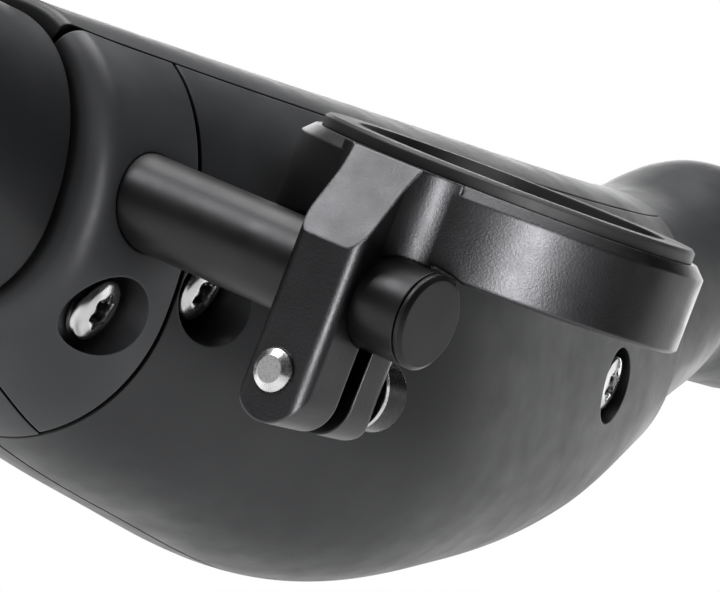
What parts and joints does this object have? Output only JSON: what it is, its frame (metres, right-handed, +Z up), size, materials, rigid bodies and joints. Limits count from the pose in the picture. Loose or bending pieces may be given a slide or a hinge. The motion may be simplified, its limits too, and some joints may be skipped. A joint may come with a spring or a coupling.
{
  "type": "bicycle computer mount on an aero handlebar centre section",
  "caption": "Quarter-turn computer socket on a split clamp arm, carried by a round rod out of the bracket of a hollow aero handlebar centre section.",
  "frame": {"origin": "on the mounting rod's axis, where the rod leaves the bracket", "axes": "+X in the riding direction along the rod, +Y along the handlebar from the near wing to the far wing, +Z up along the socket's axis"},
  "size_m": [0.1068, 0.214, 0.0557],
  "materials": {
    "body": "satin black paint",
    "core": "dark anodised",
    "anodised": "bead-blasted black anodised",
    "rod": "smooth satin black anodised",
    "polymer": "fine matt moulded",
    "steel": "polished stainless",
    "nut": "plain"
  },
  "bodies": {
    "bar": {"bar_core": "core", "rear_shell": "body", "main_cover": "body", "cover_lip": "body", "bracket": "body", "wing_near": "body", "wing_far": "body", "wing_end_near": "body", "wing_end_far": "body", "stem_stub": "body", "rod_bush": "polymer", "bracket_screw": "steel", "cover_screw_near": "steel", "cover_screw_far": "steel", "bracket_rivet_nut": "nut", "cover_rivet_nut_near": "nut", "cover_rivet_nut_far": "nut", "wing_screw_near": "steel", "wing_screw_far": "steel"},
    "rod": {"rod": "rod", "rod_end_cap": "rod", "rod_clip": "steel"},
    "mount": {"mount_arm": "anodised", "socket_insert": "polymer", "insert_screws": "steel", "bolt_washer": "steel"},
    "bolt": {"clamp_bolt": "steel"}
  },
  "joints": [
    {"name": "mount_tilt", "type": "hinge", "parent": "bar", "child": "rod", "pos_m": [0, 0, 0], "axis": [1, 0, 0], "range_deg": [-2, 15]},
    {"name": "mount_slide", "type": "slide", "parent": "rod", "child": "mount", "axis": [1, 0, 0], "range_m": [-0.0003, 0.004]},
    {"name": "clamp_bolt_turn", "type": "hinge", "parent": "mount", "child": "bolt", "pos_m": [0.0232, 0, -0.00885], "axis": [0, 1, 0], "continuous": true}
  ]
}
